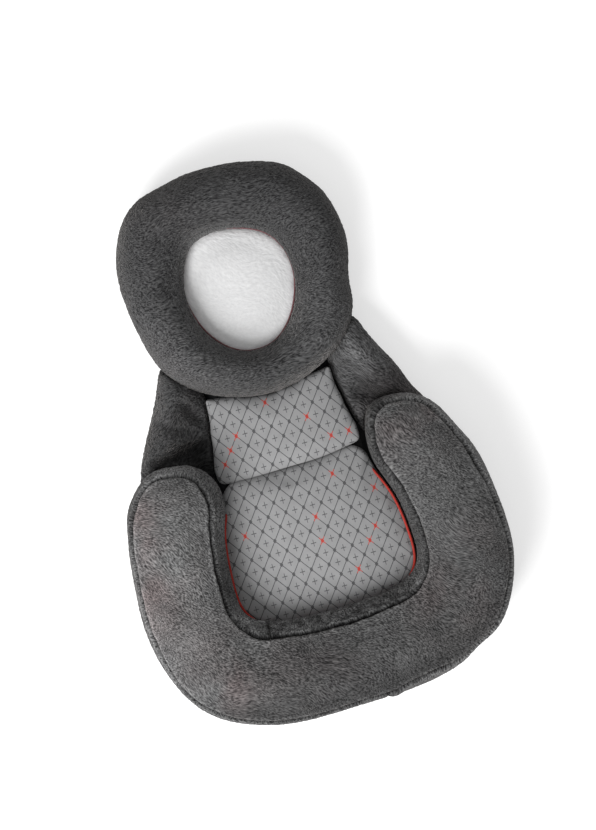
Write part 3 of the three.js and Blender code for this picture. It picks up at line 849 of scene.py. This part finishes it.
# The lounger lies a little askew: places in plan, and how far the goods there have shifted, in mm
settled = {
    (140, 245): (1, 0), (129, 105): (3, 1), (155, 5): (1, 15), (196, -24): (4, 3),
    (232, -113): (4, 1), (234, -207): (9, -1), (195, -295): (4, -4), (111, -338): (0, -2),
    (20, -348): (0, -1), (-74, -345): (-1, -5), (-167, -316): (-2, -4), (-224, -243): (4, 1),
    (-229, -103): (2, 0), (-190, -16): (-3, 2), (-144, 65): (-9, 5), (-130, 153): (-7, -2),
    (-138, 246): (-9, 2), (-92, 325): (-5, 9), (-1, 346): (0, 2), (126, -181): (9, 0),
    (-38, 252): (-12, 9), (50, 246): (4, 5), (-58, 225): (-6, 0),
}

# Tighter pulls on top of that, such as at a corner of the hollow
pulled = {
    (-47, 260): (-3, 5), (-12, 270): (1, 4), (-146, -6): (-1, -5), (120, 2): (-6, 5),
    (-208, -34): (-5, 0), (168, -318): (-4, 3), (112, 311): (-2, -5), (-65, 343): (3, -2),
    (133, 172): (-4, 0), (214, -46): (-3, -1),
}
settleSettings = {"width": 60 * mm, "stillness": 0.12, "pullWidth": 26 * mm}


def settlePoints(mesh):
    points = pointsOf(mesh)
    weights = np.zeros(len(points))
    moves = np.zeros((len(points), 2))
    for place, move in settled.items():
        weight = near(points, place, settleSettings["width"])
        weights += weight
        moves += weight[:, None] * np.array(move) * mm
    points[:, :2] += moves / (weights + settleSettings["stillness"])[:, None]
    for place, move in pulled.items():
        weight = near(points, place, settleSettings["pullWidth"])
        points[:, :2] += weight[:, None] * np.array(move) * mm
    setPoints(mesh, points)


# Stuffing a little inside its cover
stuffingGap = 4.5 * mm


def makeStuffing(cushion, name, settings):
    piece = addObject(name, cushion.data.copy())
    points = pointsOf(piece.data) - normalsOf(piece.data) * stuffingGap
    points[:, 2] = np.maximum(points[:, 2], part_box(settings["stuffing"])[0].z)
    setPoints(piece.data, points)
    settlePoints(piece.data)
    finishPiece(piece, settings["stuffing"], woven["fibre"])


# Which way the pile lies: along one direction in plan or down a wall, bent by two sizes of brushed waves
napSettings = {"wave": 22 * mm, "waveSize": 95 * mm, "swirl": 6 * mm, "swirlSize": 32 * mm}


def napDrift(points):
    settings = napSettings
    waves = np.array([noise.noise_vector(Vector(point) / settings["waveSize"]) for point in points])
    swirls = np.array([noise.noise_vector(Vector(point) / settings["swirlSize"]) for point in points])
    return waves * settings["wave"] + swirls * settings["swirl"]


def layNap(points, nap):
    if nap == "down":
        return points[:, [2, 0, 1]]
    cosine, sine = math.cos(nap), math.sin(nap)
    along = cosine * points[:, 0] + sine * points[:, 1]
    across = cosine * points[:, 1] - sine * points[:, 0]
    return np.stack([along, across, points[:, 2]], axis=1)


# Painted light and shade, lighter where the pile lies towards the light: places in plan and their tones
paintedLightTones = {
    (-190, -40): 1.07, (-200, -120): 1.2, (-190, -200): 1.15, (-150, -280): 0.84,
    (-60, -310): 0.6, (60, -310): 0.58, (160, -280): 0.67, (200, -180): 0.76, (200, -80): 0.85,
    (160, -10): 0.88, (-120, 40): 0.66, (110, 60): 1.0, (112, 125): 1.1, (-110, 105): 1.35,
    (-125, 200): 0.95, (-70, 290): 0.88, (30, 300): 0.8, (110, 220): 0.8, (0, 60): 0.85,
}


# Where the pile has a warm cast: places in plan and how much
warmPlaces = {
    (-205, -60): 1, (-210, -150): 0.9, (-140, -265): 0.9, (-30, -280): 0.4, (140, -235): 0.8,
    (155, -15): 1, (205, -200): 0.3, (-60, 310): 0.5, (-115, 95): 0.6,
}
fieldSettings = {"toneWidth": 60 * mm, "warmWidth": 48 * mm, "plainWeight": 0.02}


def warmField(points):
    return np.minimum(sumNear(points, warmPlaces, fieldSettings["warmWidth"]), 1)


# Painted light and shade by place, for each vertex
def paintedLightField(points):
    plain = fieldSettings["plainWeight"]
    tones = sumNear(points, paintedLightTones, fieldSettings["toneWidth"]) + plain
    return tones / (sumNear(points, dict.fromkeys(paintedLightTones, 1), fieldSettings["toneWidth"]) + plain)


# Height of the pile where its coordinates along the nap are known
def pileHeight(laid, settings):
    stretch = np.array([settings["length"], settings["width"], settings["width"]])
    return noiseAt(laid / stretch, 1).astype(np.float32) * settings["height"]


# Painted light and shade on the covers. A blend: where it starts, where it is full, and its gain.
# A line along the seam: its middle and width down the slope, and its gain. A spot: its place in plan in mm,
# its width and its gain
shadeSettings = {
    "top": {
        "foot": (-200 * mm, -240 * mm, 1),
        "outside": (-275 * mm, -310 * mm, 1),
        "insideReach": 110 * mm,
        "fringe": (-5.5 * mm, 2.5 * mm, 0.5),
        "outerLine": (-10 * mm, 18 * mm, -0.3),
        "innerLine": (-14 * mm, 14 * mm, 0.25),
    },
    "ring": {
        "footward": (130 * mm, 110 * mm, 1),
        "sideways": (60 * mm, 80 * mm, 1),
        "low": (58 * mm, 44 * mm, -0.6),
    },
    "band": {
        "well": (118 * mm, 165 * mm, 1),
        "inner": 0.8,
        "foot": (-170 * mm, -215 * mm, 1),
        "footGain": 1.3,
        "footRight": (0, 70 * mm, -0.5),
        "footLine": (3 * mm, 4 * mm, -0.4),
        "tuftScale": 130,
        "tuftGain": 0.9,
        "leftReach": -60 * mm,
        "leftLobe": (-90 * mm, -145 * mm, 1),
        "leftGain": 0.75,
        "outer": 1.1,
        "right": (0, 150 * mm, 1),
        "outerLine": (7 * mm, 5 * mm, 0.5),
        "spots": (((-212, -50), 45 * mm, -0.45), ((-148, 4), 38 * mm, 1.2)),
    },
    "wing": {"spots": (((120, 72), 36 * mm, 0.8), ((126, 20), 24 * mm, -0.45))},
    "pad": {
        "middle": 0.94,
        "edge": (46 * mm, 76 * mm, 0.42),
        "left": (-10 * mm, -70 * mm, 0.1),
        "head": (220 * mm, 262 * mm, -0.12),
    },
}


def blended(values, blend):
    start, end, gain = blend
    return gain * easedShare(values, start, end)


def seamLine(seam, line):
    middle, width, gain = line
    return gain * gaussian(seam - middle, width)


def spotted(points, spot):
    place, width, gain = spot
    return gain * near(points, place, width)


def evenShade(points, seam):
    return np.ones(len(points))


# Painted highlight beside the seam; at the foot, painted shade outside it and painted light inside it
def topShade(points, seam):
    settings = shadeSettings["top"]
    foot, outside = (blended(points[:, 1], settings[name]) for name in ("foot", "outside"))
    inside = foot * (1 - outside) * (np.abs(points[:, 0]) < settings["insideReach"])
    shade = 1 + seamLine(seam, settings["fringe"])
    shade *= 1 + outside * seamLine(seam, settings["outerLine"])
    return shade * (1 + inside * seamLine(seam, settings["innerLine"]))


# Painted shade on the ring's low sides towards the foot, where it meets the wings
def ringShade(points, seam):
    settings = shadeSettings["ring"]
    tucked = blended(points[:, 1], settings["footward"])
    tucked *= blended(np.abs(points[:, 0]), settings["sideways"])
    return 1 + tucked * blended(points[:, 2], settings["low"])


# Painted light and shade on the band: darker in the well save at its foot and left lobe, lighter outside,
# with a painted highlight beside the seam outside and two spots
def bandShade(points, seam):
    settings = shadeSettings["band"]
    across, along = points[:, 0], points[:, 1]
    inWell = (1 - blended(np.abs(across), settings["well"])) * (along > wellFoot)
    foot = blended(along, settings["foot"])
    lit = (1 + blended(across, settings["footRight"])) * (1 + seamLine(seam, settings["footLine"]))
    inner = settings["inner"] + settings["footGain"] * foot * lit
    inner *= 1 + settings["tuftGain"] * foot * noiseAt(points, settings["tuftScale"])
    leftLobe = (across < settings["leftReach"]) * (1 - blended(along, settings["leftLobe"]))
    inner *= 1 + settings["leftGain"] * leftLobe
    outer = settings["outer"] + blended(across, settings["right"]) + seamLine(seam, settings["outerLine"])
    shade = inner * inWell + outer * (1 - inWell)
    for spot in settings["spots"]:
        shade *= 1 + spotted(points, spot)
    return shade


# Painted light and shade on the wings at given spots
def wingShade(points, seam):
    return 1 + sum(spotted(points, spot) for spot in shadeSettings["wing"]["spots"])


# Painted light and shade on the pad: lighter towards its edge and its left, darker towards the head
def padShade(points, seam):
    settings = shadeSettings["pad"]
    reach = np.linalg.norm(points[:, :2] - np.array(hollowSettings["middle"]), axis=1)
    shade = settings["middle"] + blended(reach, settings["edge"])
    return shade + blended(points[:, 0], settings["left"]) + blended(points[:, 1], settings["head"])


# The band's two strips are joined inside the well on the left and outside on the right, where one laps over
jointSettings = {
    "inner": -81 * mm,
    "outer": 39 * mm,
    "width": 2.6 * mm,
    "depth": 1.2 * mm,
    "lap": {"middle": -9 * mm, "width": 8 * mm, "height": 2.2 * mm},
}


def bandJoints(points):
    return np.where(points[:, 1] > wellFoot, jointSettings["inner"], jointSettings["outer"])


# Where the seam of the bolster lies further in: places in plan and how far, in mm
seamShifts = {
    (78, -332): 7, (115, -322): 6, (-173, -301): 5, (211, -272): 4, (210, -55): 4.5,
    (218, -92): 4.5, (-112, -45): 7, (-112, -82): 3,
}
seamShiftWidth = 26 * mm


# Groups of faces that hang together
def islands(faces):
    left = set(faces)
    found = []
    while left:
        todo = [left.pop()]
        group = []
        while todo:
            face = todo.pop()
            group.append(face)
            for edge in face.edges:
                for other in edge.link_faces:
                    if other in left:
                        left.remove(other)
                        todo.append(other)
        found.append(group)
    return found


# Open edges drawn even along their own line
def evenEdges(shape, passes):
    sides = {}
    for edge in shape.edges:
        if edge.is_boundary:
            for vertex in edge.verts:
                sides.setdefault(vertex, []).append(edge.other_vert(vertex))
    inLine = {vertex: ends for vertex, ends in sides.items() if len(ends) == 2}
    for step in range(passes):
        moved = {vertex: (vertex.co * 2 + ends[0].co + ends[1].co) / 4 for vertex, ends in inLine.items()}
        for vertex, place in moved.items():
            vertex.co = place


trimSettings = {"floorGap": 0.3 * mm, "edgePasses": 4}


# Leaves the faces within a cover's edge and off the floor, in one sheet without stray holes
def trimCover(mesh, outside, low, stray):
    shape = bmesh.new()
    shape.from_mesh(mesh)
    shape.verts.ensure_lookup_table()
    floor = low + trimSettings["floorGap"]
    above = {face for face in shape.faces if any(v.co.z >= floor for v in face.verts)}
    beyond = {face for face in above if sum(outside[v.index] for v in face.verts) > 0}
    kept = above - beyond
    kept.update(*[group for group in islands(beyond) if len(group) < stray])
    kept = set(max(islands(kept), key=len))
    bmesh.ops.delete(shape, geom=[face for face in shape.faces if face not in kept], context="FACES")
    evenEdges(shape, trimSettings["edgePasses"])
    shape.to_mesh(mesh)
    shape.free()


# A cover: the cushion's skin within that cover's edge, with its pile and seams, given its thickness
def makeCover(name, look):
    stuffing = cushionSettings[look["cushion"]]["stuffing"]
    piece = addObject(name, cushions[look["cushion"]].data.copy())
    setValues(piece.data, "drift", napDrift(pointsOf(piece.data)))
    subdivide(piece, look["levels"])
    mesh = piece.data
    points = pointsOf(mesh)
    nothing = np.zeros(len(points))
    outside = seam = nothing - 1
    groove = roll = joined = fuzz = lap = nothing
    if look["side"]:
        seam = seamDistance(points, seamLoops[look["cushion"]], look["cushion"] == "headRing")
        for size, scale in (look["wobble"], look["ragged"]):
            seam += noiseAt(points, scale) * size
        if look["cushion"] == "bolster":
            seam += sumNear(points, seamShifts, seamShiftWidth) * mm
        outside = seam * look["side"]
        groove = gaussian(seam, look["seamWidth"]) * look["line"]
        beside = np.abs(seam) / look["seamWidth"] - look["rollPlace"]
        roll = gaussian(beside, look["rollSpread"]) * look["roll"]
        # Painted sheen on the lip over the pad
        fuzz = look["fuzz"] * lipShare(points)
    if look["band"]:
        joint = look["band"] * (points[:, 0] - bandJoints(points))
        outside = np.maximum(outside, joint)
        # The joint also takes painted shade
        joined = gaussian(joint, jointSettings["width"])
        lap = -joined * jointSettings["depth"]
    if look["band"] < 0:
        over = jointSettings["lap"]
        proud = gaussian(joint - over["middle"], over["width"]) * (points[:, 1] < wellFoot)
        lap = lap + proud * over["height"]
    # Painted shade in the wing creases, darker where they are deeper
    if look["creased"]:
        depth = creaseDepth(points, wingCreases) / wingSettings["darkDepth"]
        joined = np.minimum(depth, 1) * wingSettings["darkness"]
    laid = layNap(points, look["nap"]) + readVectors(mesh.attributes["drift"].data, "vector")
    mesh.attributes.remove(mesh.attributes["drift"])
    pile = pileHeight(laid, look["pile"]) * (1 - look["pressed"] * groove)
    moves = pile - groove * look["seamDepth"] + roll + lap
    points = points + normalsOf(mesh) * moves[:, None]
    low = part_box(stuffing)[0].z
    points[:, 2] = np.maximum(points[:, 2], low)
    setPoints(mesh, points)
    setValues(mesh, "napPlace", laid)
    setValues(mesh, "groove", np.maximum(groove, joined))
    setValues(mesh, "fuzz", fuzz)
    # Painted light and shade: the field by place, times the cover's own painted light and shade
    setValues(mesh, "tone", (paintedLightField(points) if look["toned"] else 1) * look["shade"](points, seam))
    setValues(mesh, "warm", warmField(points))
    trimCover(mesh, outside, low, look["stray"])
    addModifier(piece, "SOLIDIFY", thickness=look["thickness"], offset=-1)
    applyModifiers(piece)
    settlePoints(piece.data)
    finishPiece(piece, look["cover"], look["material"])
    return piece


# What a cover has unless it says otherwise. Waves of a seam: size and scale. Rolls beside it: in seam widths
coverDefaults = {
    "levels": 2,
    "thickness": 2.8 * mm,
    "stray": 300,
    "side": 0,
    "wobble": (1.6 * mm, 28),
    "ragged": (1.2 * mm, 85),
    "seamWidth": 2.2 * mm,
    "seamDepth": 4.2 * mm,
    "pressed": 0.6,
    "roll": 1.4 * mm,
    "rollPlace": 2.6,
    "rollSpread": 2,
    "line": 1,
    "toned": True,
    "shade": evenShade,
    "creased": False,
    "band": 0,
    "fuzz": 0,
    "nap": -0.62,
    "fill": 0.8,
    "slot": "plush",
}


def pileLook(name, height, **extra):
    shader = plushSettings[name]
    pile = {"length": 1.3 * shader["length"], "width": 2 * shader["width"], "height": height}
    return {**coverDefaults, "material": plush[name], "pile": pile, **extra}


bandLook = {"cushion": "bolster", "side": -1, "nap": "down", "slot": "wall_plush", "shade": bandShade}
ringLook = {"cushion": "headRing", "seamDepth": 0.5 * mm, "roll": 0, "line": 0.3, "fuzz": 0.2}
panelLook = {"slot": "printed_cloth", "material": printedCloth, "fill": 0.5, "thickness": 2 * mm}
wingLook = partial(pileLook, "wingPlush", 0.9 * mm, creased=True, shade=wingShade)
coverLooks = {
    "bolsterTop": pileLook(
        "bolsterPlush", 0.7 * mm, cushion="bolster", cover="bolster_top_panel", side=1,
        wobble=(2.2 * mm, 28), shade=topShade),
    "bolsterLeftBand": pileLook("wallPlush", 0.6 * mm, cover="bolster_left_band", band=1, **bandLook),
    "bolsterRightBand": pileLook("wallPlush", 0.6 * mm, cover="bolster_right_band", band=-1, **bandLook),
    "headRingCover": pileLook(
        "ringPlush", 0.9 * mm, cover="head_ring_cover", side=1, nap=0.05, shade=ringShade, **ringLook),
    "headHollowBand": pileLook(
        "ringPlush", 0.8 * mm, cover="head_hollow_band", side=-1, nap="down", slot="wall_plush", **ringLook),
    "leftWingCover": wingLook(cushion="leftWing", cover="left_wing_cover", nap=0.5),
    "rightWingCover": wingLook(cushion="rightWing", cover="right_wing_cover", nap=2.2),
    "seatPanel": pileLook("wallPlush", 0, cushion="seatPad", cover="seat_panel", **panelLook),
    "backPanel": pileLook("wallPlush", 0, cushion="backPad", cover="back_panel", **panelLook),
    "headPadCover": pileLook(
        "padPile", 0.3 * mm, cushion="headPad", cover="head_pad_cover", slot="pad_cloth", toned=False,
        shade=padShade, fill=0.5, thickness=2 * mm),
}

for name, look in coverLooks.items():
    print("cover made:", name, len(makeCover(name, look).data.polygons))

for name, settings in cushionSettings.items():
    makeStuffing(cushions[name], name + "Stuffing", settings)
for cushion in cushions.values():
    bpy.data.objects.remove(cushion)
print("stuffing made")

# Piping: the seat's dives under the bolster at the foot
pipingSettings = {
    "seatPiping": {"node": "seat_piping", "swell": -0.3 * mm, "material": woven["pipingCloth"],
                   "dive": 7 * mm, "diveBlend": (-100 * mm, -72 * mm)},
    "headPiping": {"node": "head_piping", "swell": -0.5 * mm, "material": woven["mutedPipingCloth"],
                   "dive": 0, "diveBlend": (1, 2)},
}


def makePiping(name, settings):
    piece = softCopy(name, settings["node"])
    subdivide(piece, 2)
    points = pointsOf(piece.data) + normalsOf(piece.data) * settings["swell"]
    points[:, 2] -= settings["dive"] * easedShare(points[:, 1], *settings["diveBlend"])
    setPoints(piece.data, points)
    settlePoints(piece.data)
    finishPiece(piece, settings["node"], settings["material"])


for name, settings in pipingSettings.items():
    makePiping(name, settings)

# Base: the cloth on the floor, and the foam in its sleeve
slabSettings = {
    "basePanel": {"node": "base_panel", "material": woven["baseCloth"], "slot": "base_cloth"},
    "baseFoam": {"node": "base_foam", "material": woven["sleeveCloth"], "slot": "foam"},
}
for name, settings in slabSettings.items():
    piece = softCopy(name, settings["node"], 40)
    subdivide(piece, 2)
    finishPiece(piece, settings["node"], settings["material"])
print("piping, foam and base made")

# Zip: the CAD pieces keep their shape
zipPieces = {name: zipMetal for name in ("zip_head_stop", "zip_foot_stop", "zip_slider", "zip_pull")}
zipPieces.update({name: woven["zipTape"] for name in ("zip_left_tape", "zip_right_tape")})
for nodeName, material in zipPieces.items():
    nodes[nodeName].data.materials.clear()
    nodes[nodeName].data.materials.append(material)
    addModifier(nodes[nodeName], "BEVEL", width=zipSettings["edge"], segments=2)
print("zip finished")

# Floor: pale, and white to the camera where no shadow falls
floorSettings = {
    "size": 40.0,
    "colour": (0.6, 0.6, 0.6, 1),
    "glow": 0.5,
    "farGlow": 0.8,
    "near": 0.9,
    "far": 2.5,
}


def makeFloor(settings):
    shape = bmesh.new()
    bmesh.ops.create_grid(shape, x_segments=1, y_segments=1, size=settings["size"])
    floor = addObject("floor", newMesh("floor", shape))
    material, tree, shader = newMaterial("floor")
    setInputs(shader, Base_Color=settings["colour"], Roughness=1.0, Specular_IOR_Level=0,
              Emission_Color=(1, 1, 1, 1))
    reach = addNode(tree, "ShaderNodeVectorMath", operation="LENGTH")
    tree.links.new(objectPlace(tree), reach.inputs[0])
    glow = rangeNode(tree, reach.outputs["Value"], From_Min=settings["near"], From_Max=settings["far"],
                     To_Min=settings["glow"], To_Max=settings["farGlow"])
    shine = mathNode(tree, "MULTIPLY", seenDirectly(tree), glow)
    tree.links.new(shine, shader.inputs["Emission Strength"])
    floor.data.materials.append(material)


makeFloor(floorSettings)
print("floor made")
